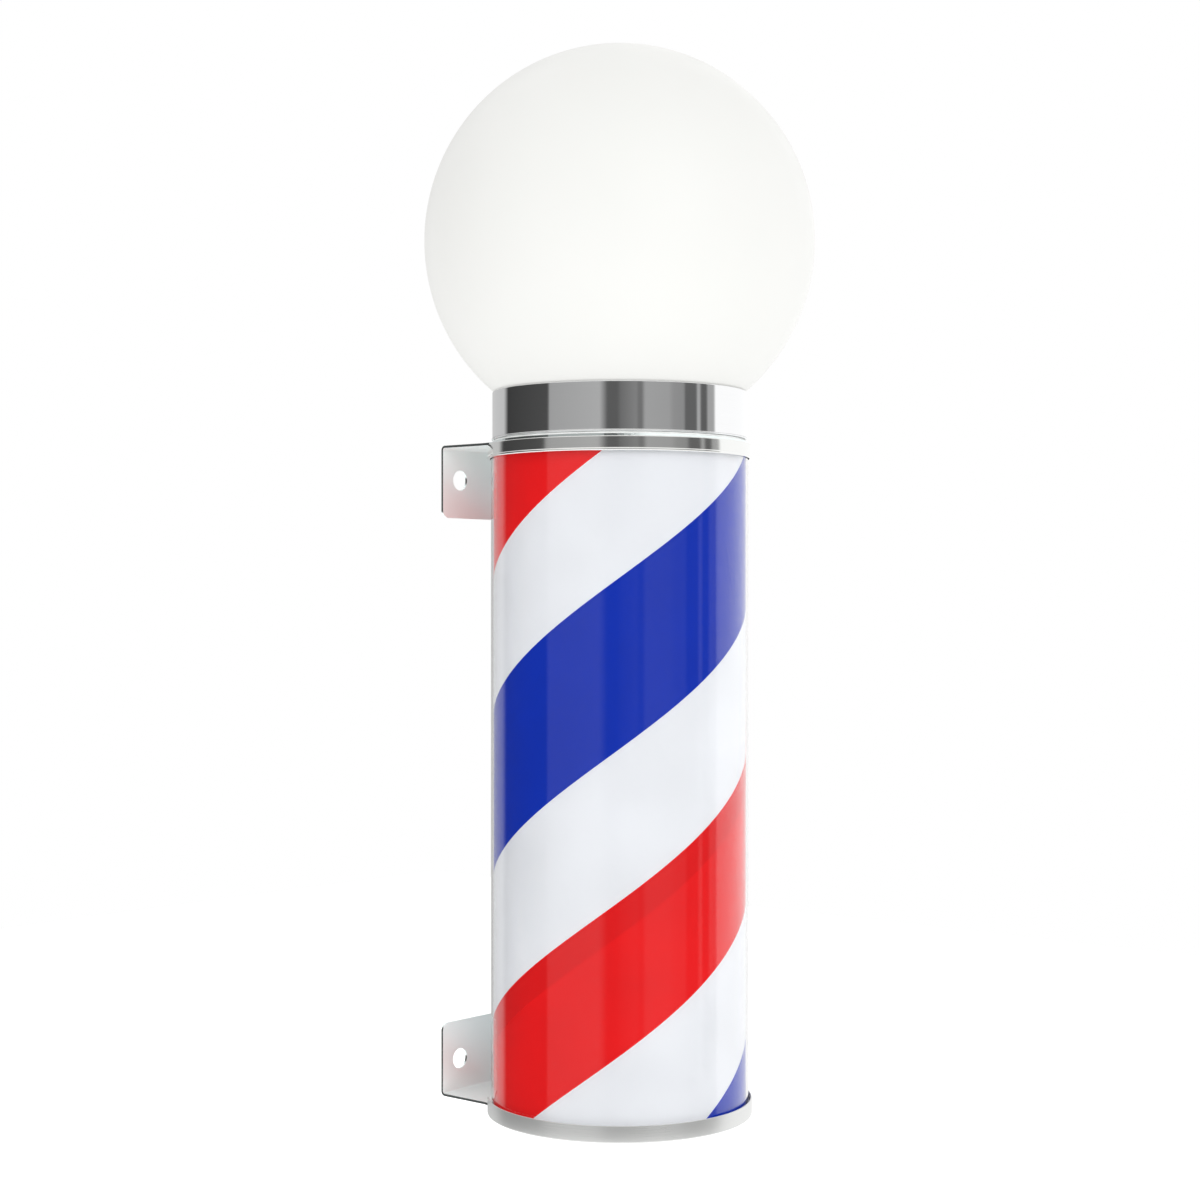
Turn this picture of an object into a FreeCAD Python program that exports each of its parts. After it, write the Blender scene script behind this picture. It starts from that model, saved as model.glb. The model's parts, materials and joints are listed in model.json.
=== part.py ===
"""Wall-held barber pole light, built as separate pieces. Millimetres.

The pieces are drawn about the pole's axis: X to the right, -Y to the front, +Y to the wall, and heights
measured up from the lowest edge of the pan. deliver() then moves each one into the shared frame, whose
origin is the centre of the four wall holes, on the wall.
"""
import FreeCAD, Part
import math
import os

V = FreeCAD.Vector
UP = V(0, 0, 1)

# Driving dimensions
WALL_DISTANCE = 104.0       # pole's axis to the wall
TUBE_RADIUS = 82.5          # outside of the clear tube
GLOBE_RADIUS = 125.0
GLOBE_CENTRE = 556.6        # height of the globe's centre
SHEET = 1.5                 # bracket sheet
RELIEF = 0.3                # clearance under the bracket's neck

# Brackets
LOWER_FACE = 4.5            # underside of the lower bracket
UPPER_FACE = 428.5          # top side of the upper bracket
PLATE_HALF_WIDTH = 57.0
PLATE_HEIGHT = 47.0
PLATE_CORNER = 5.0
BEND_RADIUS = 3.0           # outside of the bend
HOLE_INSET = 22.0           # wall hole to the bracket's outer face
HOLE_HALF_SPACING = 41.0
WALL_HOLE_RADIUS = 6.5
DISC_RADIUS = 82.0
NECK_FILLET = 22.0
HOLE_MIDDLE = (LOWER_FACE + UPPER_FACE) / 2
CABLE_WAY = 6.0             # radius of the hole under the column
LAMP_WAY = 9.0              # radius of the hole over the column

# Caps
PAN_RADIUS = 84.8
PAN_WALL = 1.0
PAN_HEIGHT = 10.6
PAN_FLOOR = LOWER_FACE - PAN_WALL
CAP_RADIUS = 84.7           # its straight skirt
CAP_BEAD_RADIUS = 85.4      # outermost line of the rolled lower edge
CAP_WALL = 1.2
CAP_TOP = UPPER_FACE - SHEET
CAP_BOTTOM = 418.0
CAP_CEILING = CAP_TOP - CAP_WALL
CAP_SHOULDER = 0.6          # radius of its top edge
CAP_ROLL = 0.95             # radius of the rolled lower edge
PAN_HEM = 1.0               # radius of the pan's lower edge
NOTCH_HALF_WIDTH = PLATE_HALF_WIDTH + 3
NOTCH_FRONT = 40.0
NOTCH_BACK = 90.0

# Clear tube, its end rings and the deck that it stands on
DECK = LOWER_FACE + SHEET
TUBE_WALL = 1.2
SEAL_HEIGHT = 1.2
SEAL_OUTER = 83.2
SEAL_INNER = 80.9

# Drum
FILM_RADIUS = 80.7
FILM_THICKNESS = 0.5
FILM_BOTTOM = 8.0
FILM_TOP = 423.0
FILM_INNER = FILM_RADIUS - FILM_THICKNESS
BEARING_RADIUS = 18.0       # fixed journals that the drum turns on
RUNNING_FIT = 0.05
GEAR_BOTTOM = 30.6
GEAR_WIDTH = 7.0
SPIDER_HEIGHT = 6.0
SPIDER_RIM_HEIGHT = 10.0
UPPER_SPIDER = 408.0        # underside of the upper spider's hub
LOWER_HUB_RADIUS = 31.0
UPPER_HUB_RADIUS = 26.0
SPIDER_PHASE = 45           # bearing of its first spoke, in degrees
RIM_THICKNESS = 2.2
SPOKE_HALF_WIDTH = 4.0
SPOKE_INSET = 0.6           # spoke's top and bottom below the hub's
HOOP_THICKNESS = 1.5
HOOP_HEIGHT = 8.0

# Gears
MODULE = 1.5
GEAR_TEETH = 48
PINION_TEETH = 16
PRESSURE_ANGLE = math.radians(20)
BACKLASH = 0.25
ADDENDUM = 0.95 * MODULE
DEDENDUM = 1.25 * MODULE
MOTOR_OFFSET = MODULE * (GEAR_TEETH + PINION_TEETH) / 2
MOTOR_RADIUS = 25.0
MOTOR_BOTTOM = DECK + 2.5
MOTOR_TOP = 28.0
SHAFT_RADIUS = 3.0
MOTOR_EAR = 30.0
EAR_RADIUS = 6.5
MOTOR_EAR_SHEET = 1.5
MOTOR_EDGE = 1.2            # radius of its upper edge
MOTOR_NOSE_RADIUS = 7.0
MOTOR_NOSE_HEIGHT = 2.0
SHAFT_DEPTH = 8.0           # bottom of the shaft's bore, above the motor's underside
SPACER_RADIUS = 5.0

# Column
COLUMN_SIDE = 20.0
COLUMN_WALL = 1.5
COLUMN_BOTTOM = 12.0
COLUMN_TOP = 420.0
FOOT_RADIUS = 21.0
FOOT_SHOULDER = 29.5
FOOT_TOP = 46.0
FOOT_EAR = 5.0              # height of the foot's screw ears
PIVOT_BOTTOM = 404.0
PIVOT_FLANGE = 3.0
PIVOT_FLANGE_RADIUS = 30.0
LAMP_BORE = 8.0
STRIP_BOTTOM = 52.0
STRIP_TOP = 402.0
STRIP_WIDTH = 10.0
STRIP_THICKNESS = 1.2
CHIPS_PER_STRIP = 14
CHIP_SIDE = 5.0
CHIP_HEIGHT = 1.4

# Collar and what holds the globe
COLLAR_RADIUS = 81.5
COLLAR_WALL = 1.0
COLLAR_TOP = 460.5
GASKET_HEIGHT = 1.5
COLLAR_BOTTOM = UPPER_FACE + GASKET_HEIGHT
COLLAR_FLANGE = 1.2
COLLAR_MOUTH = 70.0         # inside of its foot flange
COLLAR_BEAD = 0.6           # radius of the beads at its edges
GASKET_INSET = 0.7          # gasket's edge inside the collar's face
SEAT_HEIGHT = 440.0
SEAT_INNER = 73.5
SEAT_SHEET = 1.0
SEAT_SKIRT = 5.5            # height of its welded skirt
SEAT_SKIRT_SHEET = 0.8
PAD_HEIGHT = 1.0
PAD_INNER = 74.0
PAD_OUTER = 79.0
SOFT_RING_BOTTOM = 453.0
SOFT_RING_TOP = 456.6
NUT_RADIUS = 3.1            # to its corners
NUT_HEIGHT = 2.4
GLOBE_WALL = 3.0
NECK_RADIUS = 76.0
LIP = 2.5                   # how far the lip stands out from the neck, and its height
LIP_TAPER = 4.0             # height at which the lip has run out into the neck
CLIP_HALF_WIDTH = 6.0

# Lamp
BRIDGE_TOP = 440.2
BRIDGE_SHEET = 1.2
BRIDGE_HALF_SPAN = 34.0     # inside of its legs
BRIDGE_HALF_LENGTH = 46.0
BRIDGE_HALF_WIDTH = 12.0
BRIDGE_WAY = 6.0            # radius of the hole for the wires
HOLDER_RADIUS = 20.5
HOLDER_STEP = 447.0         # top of its narrower base
HOLDER_TAPER = 463.0        # where it starts to narrow again
HOLDER_TOP = 478.0
HOLDER_BASE = 18.0          # radius of its narrower base
HOLDER_RIM = 18.5           # radius at its top
SHELL_LOW = 452.0
SHELL_TOP = HOLDER_TOP + 0.5
THREAD_PITCH = 3.6
THREAD_TURNS = 5
THREAD_ROOT = 12.2
THREAD_CREST = 13.6
DOME_BOTTOM = 514.0
DOME_CENTRE = DOME_BOTTOM + 21
BULB_RADIUS = 30.0
BULB_NECK = (14.5, 15.5)    # radius at the neck's foot and top
BULB_NECK_HEIGHT = 6.0
BULB_WAIST = (20.5, 499.0)  # radius and height of a point on its flared side

# Rocker switches
SWITCH_X = -52.0
SWITCH_HALF_SPACING = 10.0
ROCKER_PIVOT = 5.4
ROCKER_TILT = 7.0
ROCKER_PIN = 1.0
ROCKER_HALF_WIDTH = 4.5
BEZEL = 1.5
SWITCH_CUTOUT = (19.0, 13.0)
SWITCH_BEZEL = (22.0, 15.5)
SWITCH_BODY = (18.8, 12.8)
ROCKER_WELL = (15.4, 9.4)
ROCKER_WELL_TOP = 9.0
TAG_PITCH = 6
TAG = (0.8, 4.8)
SWITCH_TOP = 17.0
TAG_TOP = 24.0

# Screw thread radii
M3 = 1.5
M4 = 2.0

# Pieces on the deck, each at an (x, y) spot about the pole's axis
GROMMET_SPOT = (0.0, 63.0)
GROMMET_RADIUS = 6.5
GROMMET_LIP = 9.0
GROMMET_BORE = 3.5
TERMINAL_SPOT = (0.0, 45.0)
TERMINAL_FLOOR = DECK + 6   # bottom of its wells
DRIVER_SPOT = (46.0, 8.0)
DRIVER_HEIGHT = 18.0
DRIVER_FLANGE = 2.0
DRIVER_BODY = (26.0, 60.0)
DRIVER_FOOT = (12.0, 76.0)
DRIVER_RIB = (22.0, 1.5)
DRIVER_SCREW_REACH = 34
RIB_REACH = 24
RIB_SPACING = 6
RIB_HEIGHT = 0.8
TERMINAL_BODY = (40.0, 16.0)
TERMINAL_HEIGHT = 14.0
WELL_RADIUS = 3.2
WELL_PITCH = 9.5
ENTRY_RADIUS = 2.0
ENTRY_HEIGHT = 3.5
CLAMP_RADIUS = 2.6
CLAMP_HEIGHT = 4.0
WIRE_RADIUS = 1.1
WIRE_OFFSET = 2.6


def around(radius, count, first_degrees):
    """Evenly spaced spots on a circle about the pole's axis."""
    spots = []
    for index in range(count):
        angle = math.radians(first_degrees + 360.0 * index / count)
        spots.append((radius * math.cos(angle), radius * math.sin(angle)))
    return spots


FOOT_SPOTS = around(29.0, 3, -30)
PAN_SPOTS = around(70.0, 4, 45)
MOTOR_SPOTS = [(-MOTOR_EAR, -MOTOR_OFFSET), (MOTOR_EAR, -MOTOR_OFFSET)]
DRIVER_SPOTS = [(DRIVER_SPOT[0], DRIVER_SPOT[1] + side * DRIVER_SCREW_REACH) for side in (-1, 1)]
PIVOT_SPOTS = around(25.0, 3, 30)
CAP_SPOTS = around(60.0, 4, 45)
COLLAR_SPOTS = around(75.0, 3, 90)
BRIDGE_SPOTS = [(-40.0, 0.0), (40.0, 0.0)]
HOLDER_SPOTS = [(-12.0, 0.0), (12.0, 0.0)]
GEAR_SPOTS = around(26.0, 3, 90)


# Plain shapes

def cylinder(radius, low, high, spot=(0.0, 0.0)):
    return Part.makeCylinder(radius, high - low, V(spot[0], spot[1], low))


def ring(outer, inner, low, high, spot=(0.0, 0.0)):
    return cylinder(outer, low, high, spot).cut(cylinder(inner, low, high, spot))


def block(x0, x1, y0, y1, z0, z1):
    return Part.makeBox(x1 - x0, y1 - y0, z1 - z0, V(x0, y0, z0))


def centred_block(spot, length_x, length_y, low, high, corner=0.0):
    """Upright block about a spot, with rounded upright edges."""
    x, y = spot
    shape = block(x - length_x / 2, x + length_x / 2, y - length_y / 2, y + length_y / 2, low, high)
    if corner:
        upright = [edge for edge in shape.Edges
                   if abs(edge.tangentAt(edge.FirstParameter).z) > 0.99]
        shape = shape.makeFillet(corner, upright)
    return shape


def drilled(shape, spots, radius, low, high):
    for spot in spots:
        shape = shape.cut(cylinder(radius, low, high, spot))
    return shape


def joined(shapes):
    whole = shapes[0]
    for shape in shapes[1:]:
        whole = whole.fuse(shape)
    return whole.removeSplitter()


def turned(edges):
    """Solid of revolution about the pole's axis, from a closed outline in the XZ plane."""
    return Part.Face(Part.Wire(edges)).revolve(V(0, 0, 0), UP, 360)


def line(start, end):
    return Part.makeLine(V(start[0], 0, start[1]), V(end[0], 0, end[1]))


def arc(start, middle, end):
    points = [V(x, 0, z) for x, z in (start, middle, end)]
    return Part.Arc(*points).toShape()


def outline(points):
    """Straight closed outline in the XZ plane."""
    closed = points + points[:1]
    return [line(closed[i], closed[i + 1]) for i in range(len(points))]


def prism(points, half_width):
    """Outline in the XZ plane, drawn out along Y both ways."""
    face = Part.Face(Part.Wire(outline(points)))
    face.translate(V(0, -half_width, 0))
    return face.extrude(V(0, 2 * half_width, 0))


def screw(spot, face, radius, length, heads_up=True):
    """Pan-head screw with a cross recess. face is the height that its head bears on."""
    head_height = 1.1 * radius
    head = cylinder(1.8 * radius, 0, head_height)
    head = head.makeFillet(0.45 * radius, [head.Edges[0]])
    slot = 0.35 * radius
    arm = 0.95 * radius
    head = head.cut(block(-arm, arm, -slot, slot, head_height / 2, head_height))
    head = head.cut(block(-slot, slot, -arm, arm, head_height / 2, head_height))
    shape = head.fuse(cylinder(radius, -length, 0))
    if not heads_up:
        shape = shape.mirror(V(0, 0, 0), UP)
    shape.translate(V(spot[0], spot[1], face))
    return shape


def screw_reach(face):
    """Length of a screw from the face under its head to just short of the lower bracket's underside."""
    return face - LOWER_FACE - 0.1


def screws(spots, face, radius, length, heads_up=True):
    return Part.makeCompound([screw(spot, face, radius, length, heads_up) for spot in spots])


# Brackets

def bracket_blank():
    """Round plate, neck, bend and upright wall plate. The outer face is at height 0, the plate rises."""
    side = PLATE_HALF_WIDTH
    reach = DISC_RADIUS + NECK_FILLET
    fillet_x = side + NECK_FILLET
    fillet_y = math.sqrt(reach ** 2 - fillet_x ** 2)
    scale = DISC_RADIUS / reach
    on_disc = (fillet_x * scale, fillet_y * scale)
    swing = math.atan2(fillet_y - on_disc[1], fillet_x - on_disc[0]) / 2
    half_x = fillet_x - NECK_FILLET * math.cos(swing)
    half_y = fillet_y - NECK_FILLET * math.sin(swing)
    neck_end = WALL_DISTANCE - BEND_RADIUS
    wire = Part.Wire([
        Part.makeLine(V(side, neck_end, 0), V(side, fillet_y, 0)),
        Part.Arc(V(side, fillet_y, 0), V(half_x, half_y, 0), V(on_disc[0], on_disc[1], 0)).toShape(),
        Part.Arc(V(on_disc[0], on_disc[1], 0), V(0, -DISC_RADIUS, 0),
                 V(-on_disc[0], on_disc[1], 0)).toShape(),
        Part.Arc(V(-on_disc[0], on_disc[1], 0), V(-half_x, half_y, 0), V(-side, fillet_y, 0)).toShape(),
        Part.makeLine(V(-side, fillet_y, 0), V(-side, neck_end, 0)),
        Part.makeLine(V(-side, neck_end, 0), V(side, neck_end, 0)),
    ])
    flat = Part.Face(wire).extrude(V(0, 0, SHEET))

    bend = Part.makeCylinder(BEND_RADIUS, 2 * side, V(-side, neck_end, BEND_RADIUS), V(1, 0, 0))
    bend = bend.cut(Part.makeCylinder(BEND_RADIUS - SHEET, 2 * side, V(-side, neck_end, BEND_RADIUS),
                                      V(1, 0, 0)))
    bend = bend.common(block(-side, side, neck_end, WALL_DISTANCE, 0, BEND_RADIUS))

    plate = block(-side, side, WALL_DISTANCE - SHEET, WALL_DISTANCE, BEND_RADIUS, PLATE_HEIGHT)
    corners = [edge for edge in plate.Edges
               if edge.BoundBox.YLength > SHEET / 2 and edge.BoundBox.ZMin > PLATE_HEIGHT - 1]
    plate = plate.makeFillet(PLATE_CORNER, corners)
    for x in (-HOLE_HALF_SPACING, HOLE_HALF_SPACING):
        hole = Part.makeCylinder(WALL_HOLE_RADIUS, 4 * SHEET,
                                 V(x, WALL_DISTANCE - 2 * SHEET, HOLE_INSET), V(0, 1, 0))
        plate = plate.cut(hole)
    return joined([flat, bend, plate])


def lower_bracket():
    shape = bracket_blank()
    shape.translate(V(0, 0, LOWER_FACE))
    low, high = LOWER_FACE - 1, DECK + 1
    shape = drilled(shape, [(0, 0)], CABLE_WAY, low, high)
    shape = drilled(shape, FOOT_SPOTS + PAN_SPOTS + MOTOR_SPOTS, M4, low, high)
    shape = drilled(shape, DRIVER_SPOTS, M3, low, high)
    shape = drilled(shape, [GROMMET_SPOT], GROMMET_RADIUS, low, high)
    for spot in switch_spots():
        shape = shape.cut(centred_block(spot, *SWITCH_CUTOUT, low, high))
    return shape


def upper_bracket():
    shape = bracket_blank().mirror(V(0, 0, 0), UP)
    shape.translate(V(0, 0, UPPER_FACE))
    low, high = CAP_TOP - 1, UPPER_FACE + 1
    shape = drilled(shape, [(0, 0)], LAMP_WAY, low, high)
    shape = drilled(shape, PIVOT_SPOTS + CAP_SPOTS + BRIDGE_SPOTS, M4, low, high)
    return drilled(shape, COLLAR_SPOTS, M3, low, high)


# Caps

def bottom_cap():
    """Pressed pan with a rolled lower edge and a notch at the back for the bracket's neck."""
    inner = PAN_RADIUS - PAN_WALL
    fold = inner - PAN_HEM
    skirt = turned([
        line((PAN_RADIUS, PAN_HEM), (PAN_RADIUS, PAN_HEIGHT)),
        line((PAN_RADIUS, PAN_HEIGHT), (inner, PAN_HEIGHT)),
        line((inner, PAN_HEIGHT), (inner, LOWER_FACE)),
        line((inner, LOWER_FACE), (0, LOWER_FACE)),
        line((0, LOWER_FACE), (0, PAN_FLOOR)),
        line((0, PAN_FLOOR), (fold, PAN_FLOOR)),
        line((fold, PAN_FLOOR), (fold, PAN_HEM)),
        arc((fold, PAN_HEM), (inner, 0), (PAN_RADIUS, PAN_HEM)),
    ])
    notch = ring(NOTCH_BACK, inner, LOWER_FACE - RELIEF, PAN_HEIGHT + 1)
    notch = notch.common(block(-NOTCH_HALF_WIDTH, NOTCH_HALF_WIDTH, NOTCH_FRONT, NOTCH_BACK,
                               0, PAN_HEIGHT + 1))
    shape = skirt.cut(notch)
    shape = drilled(shape, PAN_SPOTS, M4, PAN_FLOOR - 1, LOWER_FACE + 1)
    shape = drilled(shape, [GROMMET_SPOT], GROMMET_RADIUS, PAN_FLOOR - 1, LOWER_FACE + 1)
    for spot in switch_spots():
        shape = shape.cut(centred_block(spot, *SWITCH_CUTOUT, PAN_FLOOR - 1, LOWER_FACE + 1))
    return shape


def top_cap():
    """Pressed cap with a straight skirt and an outward roll along its lower edge."""
    rounding = 1 - math.sqrt(0.5)
    corner = CAP_SHOULDER * rounding
    flat = CAP_RADIUS - CAP_SHOULDER
    roll_radius = CAP_BEAD_RADIUS - CAP_ROLL
    roll_height = CAP_BOTTOM + CAP_ROLL
    inset = CAP_RADIUS - roll_radius
    roll_top = roll_height + math.sqrt(CAP_ROLL ** 2 - inset ** 2)
    shape = turned([
        line((0, CAP_TOP), (flat, CAP_TOP)),
        arc((flat, CAP_TOP), (CAP_RADIUS - corner, CAP_TOP - corner), (CAP_RADIUS, CAP_TOP - CAP_SHOULDER)),
        line((CAP_RADIUS, CAP_TOP - CAP_SHOULDER), (CAP_RADIUS, roll_top)),
        arc((CAP_RADIUS, roll_top), (CAP_BEAD_RADIUS, roll_height), (roll_radius, CAP_BOTTOM)),
        line((roll_radius, CAP_BOTTOM), (SEAL_OUTER, CAP_BOTTOM)),
        line((SEAL_OUTER, CAP_BOTTOM), (SEAL_OUTER, CAP_CEILING)),
        line((SEAL_OUTER, CAP_CEILING), (0, CAP_CEILING)),
        line((0, CAP_CEILING), (0, CAP_TOP)),
    ])
    low, high = CAP_CEILING - 1, CAP_TOP + 1
    shape = drilled(shape, [(0, 0)], LAMP_WAY, low, high)
    shape = drilled(shape, PIVOT_SPOTS + CAP_SPOTS + BRIDGE_SPOTS, M4, low, high)
    return drilled(shape, COLLAR_SPOTS, M3, low, high)


# Clear tube

def outer_tube():
    return ring(TUBE_RADIUS, TUBE_RADIUS - TUBE_WALL, DECK + SEAL_HEIGHT, CAP_CEILING - SEAL_HEIGHT)


def lower_seal():
    return ring(SEAL_OUTER, SEAL_INNER, DECK, DECK + SEAL_HEIGHT)


def upper_seal():
    return ring(SEAL_OUTER, SEAL_INNER, CAP_CEILING - SEAL_HEIGHT, CAP_CEILING)


# Drum

def drum_film():
    return ring(FILM_RADIUS, FILM_INNER, FILM_BOTTOM, FILM_TOP)


def lower_hoop():
    """Stiffening hoop inside the film's lower edge."""
    return ring(FILM_INNER, FILM_INNER - HOOP_THICKNESS, FILM_BOTTOM, FILM_BOTTOM + HOOP_HEIGHT)


def spider(hub_low, hub_radius):
    """Hub with a journal bore, four spokes and a rim that the film is bonded to."""
    high = hub_low + SPIDER_HEIGHT
    middle = hub_low + SPIDER_HEIGHT / 2
    rim_low = middle - SPIDER_RIM_HEIGHT / 2
    pieces = [
        cylinder(hub_radius, hub_low, high),
        ring(FILM_INNER, FILM_INNER - RIM_THICKNESS, rim_low, rim_low + SPIDER_RIM_HEIGHT),
    ]
    for index in range(4):
        spoke = block(hub_radius - 2, FILM_INNER - 1, -SPOKE_HALF_WIDTH, SPOKE_HALF_WIDTH,
                      hub_low + SPOKE_INSET, high - SPOKE_INSET)
        spoke.rotate(V(0, 0, 0), UP, SPIDER_PHASE + 90 * index)
        pieces.append(spoke)
    whole = joined(pieces)
    return whole.cut(cylinder(BEARING_RADIUS + RUNNING_FIT, hub_low - 1, high + 1))


def lower_spider():
    low = GEAR_BOTTOM + GEAR_WIDTH
    shape = spider(low, LOWER_HUB_RADIUS)
    return drilled(shape, GEAR_SPOTS, M3, low - 1, low + SPIDER_HEIGHT + 1)


def upper_spider():
    return spider(UPPER_SPIDER, UPPER_HUB_RADIUS)


# Gears

def involute(base, radius):
    """Angle that an involute of this base circle has swept when it reaches the radius."""
    slope = math.sqrt((radius / base) ** 2 - 1)
    return slope - math.atan(slope)


def gear_face(teeth, tooth_at_degrees):
    """Spur gear outline with involute flanks, one tooth centred on the given angle."""
    pitch = MODULE * teeth / 2
    base = pitch * math.cos(PRESSURE_ANGLE)
    tip = pitch + ADDENDUM
    root = pitch - DEDENDUM
    start = max(root, base * 1.0001)
    half_tooth = (math.pi * MODULE / 2 - BACKLASH) / 2 / pitch + involute(base, pitch)

    def at(radius, angle):
        return V(radius * math.cos(angle), radius * math.sin(angle), 0)

    def flank(radius):
        return half_tooth - involute(base, radius)

    middle = (start + tip) / 2
    edges = []
    step = 2 * math.pi / teeth
    for index in range(teeth):
        centre = math.radians(tooth_at_degrees) + index * step
        foot = flank(start)
        if start > root:
            edges.append(Part.makeLine(at(root, centre - foot), at(start, centre - foot)))
        edges.append(Part.Arc(at(start, centre - foot), at(middle, centre - flank(middle)),
                              at(tip, centre - flank(tip))).toShape())
        edges.append(Part.Arc(at(tip, centre - flank(tip)), at(tip, centre),
                              at(tip, centre + flank(tip))).toShape())
        edges.append(Part.Arc(at(tip, centre + flank(tip)), at(middle, centre + flank(middle)),
                              at(start, centre + foot)).toShape())
        if start > root:
            edges.append(Part.makeLine(at(start, centre + foot), at(root, centre + foot)))
        edges.append(Part.Arc(at(root, centre + foot), at(root, centre + step / 2),
                              at(root, centre + step - foot)).toShape())
    return Part.Face(Part.Wire(edges))


def drive_gear():
    face = gear_face(GEAR_TEETH, -90)
    face.translate(V(0, 0, GEAR_BOTTOM))
    shape = face.extrude(V(0, 0, GEAR_WIDTH))
    top = GEAR_BOTTOM + GEAR_WIDTH
    shape = shape.cut(cylinder(BEARING_RADIUS + RUNNING_FIT, GEAR_BOTTOM - 1, top + 1))
    return drilled(shape, GEAR_SPOTS, M3, GEAR_BOTTOM - 1, top + 1)


def gear_screws():
    return screws(GEAR_SPOTS, GEAR_BOTTOM + GEAR_WIDTH + SPIDER_HEIGHT, M3, SPIDER_HEIGHT + GEAR_WIDTH - 1)


def motor_pinion():
    half_pitch = 180.0 / PINION_TEETH
    face = gear_face(PINION_TEETH, 90 + half_pitch)
    shape = face.extrude(V(0, 0, GEAR_WIDTH - 1.5))
    shape.translate(V(0, -MOTOR_OFFSET, GEAR_BOTTOM + 0.5))
    return shape.cut(cylinder(SHAFT_RADIUS, 0, 50, (0, -MOTOR_OFFSET)))


def motor_shaft():
    low = MOTOR_BOTTOM + SHAFT_DEPTH + 1
    return cylinder(SHAFT_RADIUS, low, GEAR_BOTTOM + GEAR_WIDTH - 0.6, (0, -MOTOR_OFFSET))


# Motor

def gear_motor():
    spot = (0, -MOTOR_OFFSET)
    body = cylinder(MOTOR_RADIUS, MOTOR_BOTTOM, MOTOR_TOP, spot)
    body = body.makeFillet(MOTOR_EDGE, [edge for edge in body.Edges if edge.BoundBox.ZMin > MOTOR_TOP - 0.1])
    ear_top = MOTOR_BOTTOM + MOTOR_EAR_SHEET
    ears = [cylinder(EAR_RADIUS, MOTOR_BOTTOM, ear_top, ear) for ear in MOTOR_SPOTS]
    strap = centred_block(spot, 2 * MOTOR_EAR, 2 * EAR_RADIUS, MOTOR_BOTTOM, ear_top)
    nose = cylinder(MOTOR_NOSE_RADIUS, MOTOR_TOP - 1, MOTOR_TOP + MOTOR_NOSE_HEIGHT, spot)
    shape = joined([body, strap, nose] + ears)
    shape = drilled(shape, MOTOR_SPOTS, M4, MOTOR_BOTTOM - 1, MOTOR_BOTTOM + 3)
    return shape.cut(cylinder(SHAFT_RADIUS + RUNNING_FIT, MOTOR_BOTTOM + SHAFT_DEPTH, MOTOR_TOP + 3, spot))


def motor_spacers():
    return Part.makeCompound([ring(SPACER_RADIUS, M4, DECK, MOTOR_BOTTOM, spot) for spot in MOTOR_SPOTS])


def motor_screws():
    face = MOTOR_BOTTOM + MOTOR_EAR_SHEET
    return screws(MOTOR_SPOTS, face, M4, screw_reach(face))


# Fixed column and the light strips on it

def square_tube(side, low, high):
    half = side / 2
    return block(-half, half, -half, half, low, high)


def column_foot():
    """Boss with a square socket, a shoulder for the washer and three ears."""
    pieces = [
        cylinder(FOOT_RADIUS, DECK, FOOT_SHOULDER),
        cylinder(BEARING_RADIUS, FOOT_SHOULDER, FOOT_TOP),
    ]
    for x, y in FOOT_SPOTS:
        arm = block(0, math.hypot(x, y), -EAR_RADIUS, EAR_RADIUS, DECK, DECK + FOOT_EAR)
        arm.rotate(V(0, 0, 0), UP, math.degrees(math.atan2(y, x)))
        pieces.append(arm)
        pieces.append(cylinder(EAR_RADIUS, DECK, DECK + FOOT_EAR, (x, y)))
    shape = joined(pieces)
    shape = shape.cut(square_tube(COLUMN_SIDE, COLUMN_BOTTOM, FOOT_TOP + 1))
    shape = shape.cut(cylinder(CABLE_WAY, DECK - 1, COLUMN_BOTTOM + 1))
    return drilled(shape, FOOT_SPOTS, M4, DECK - 1, DECK + FOOT_EAR + 1)


def foot_screws():
    return screws(FOOT_SPOTS, DECK + FOOT_EAR, M4, screw_reach(DECK + FOOT_EAR))


def thrust_washer():
    return ring(FOOT_RADIUS, BEARING_RADIUS, FOOT_SHOULDER, GEAR_BOTTOM - 0.1)


def led_column():
    inner = COLUMN_SIDE - 2 * COLUMN_WALL
    return square_tube(COLUMN_SIDE, COLUMN_BOTTOM, COLUMN_TOP).cut(
        square_tube(inner, COLUMN_BOTTOM - 1, COLUMN_TOP + 1))


def on_four_sides(solids):
    turned_solids = []
    for quarter in range(4):
        for solid in solids:
            copy = solid.copy()
            copy.rotate(V(0, 0, 0), UP, 90 * quarter)
            turned_solids.append(copy)
    return Part.makeCompound(turned_solids)


def led_strips():
    face = COLUMN_SIDE / 2
    half = STRIP_WIDTH / 2
    return on_four_sides([block(face, face + STRIP_THICKNESS, -half, half, STRIP_BOTTOM, STRIP_TOP)])


def led_chips():
    face = COLUMN_SIDE / 2 + STRIP_THICKNESS
    half = CHIP_SIDE / 2
    spacing = (STRIP_TOP - STRIP_BOTTOM) / CHIPS_PER_STRIP
    chips = []
    for index in range(CHIPS_PER_STRIP):
        middle = STRIP_BOTTOM + (index + 0.5) * spacing
        chips.append(block(face, face + CHIP_HEIGHT, -half, half, middle - half, middle + half))
    return on_four_sides(chips)


def top_pivot():
    """Flanged stub under the cap: upper journal of the drum and upper socket of the column."""
    shape = joined([
        cylinder(PIVOT_FLANGE_RADIUS, CAP_CEILING - PIVOT_FLANGE, CAP_CEILING),
        cylinder(BEARING_RADIUS, PIVOT_BOTTOM, CAP_CEILING),
    ])
    shape = shape.cut(square_tube(COLUMN_SIDE, PIVOT_BOTTOM - 1, COLUMN_TOP))
    shape = shape.cut(cylinder(LAMP_BORE, COLUMN_TOP - 1, CAP_CEILING + 1))
    return drilled(shape, PIVOT_SPOTS, M4, CAP_CEILING - PIVOT_FLANGE - 1, CAP_CEILING + 1)


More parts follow.
